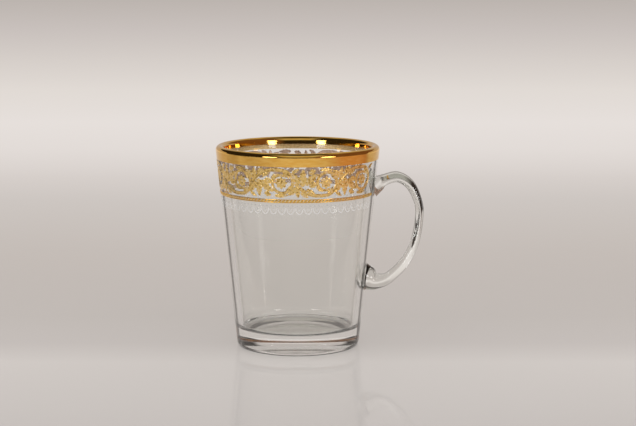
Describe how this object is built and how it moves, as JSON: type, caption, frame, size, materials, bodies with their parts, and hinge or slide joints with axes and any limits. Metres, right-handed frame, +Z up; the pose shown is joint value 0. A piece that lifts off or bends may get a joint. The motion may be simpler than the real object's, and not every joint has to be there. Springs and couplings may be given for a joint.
{
  "type": "handled glass tea mug",
  "caption": "Tapered clear glass tea mug with a thick base, a fused ear-shaped handle, a gilded lip and a gold scroll frieze; holds a hot drink.",
  "frame": {"origin": "on the tumbler's axis, in the plane of the resting ring under the base", "axes": "+Z up along the tumbler's axis, +X from the axis towards the handle, -Y towards the viewer of the picture"},
  "size_m": [0.1017, 0.0798, 0.0985],
  "materials": {
    "clear_glass": "clear, fire-polished",
    "handle_glass": "clear, fire-polished",
    "burnished_gold": "burnished gold",
    "satin_gold": "satin gold",
    "bright_gold": "bright gold",
    "etched_white": "etched, frosted"
  },
  "bodies": {
    "root": {"glass_tumbler": "clear_glass", "handle": "handle_glass", "outer_gold_band": "burnished_gold", "lip_gilding": "burnished_gold", "inner_gold_band": "burnished_gold", "scroll_stems": "satin_gold", "scroll_leaves": "satin_gold", "scroll_rosettes": "satin_gold", "rope_rails": "bright_gold", "rope_strands": "bright_gold", "lace_scallops": "etched_white", "lace_diamonds": "etched_white", "lace_dots": "etched_white"}
  },
  "joints": []
}
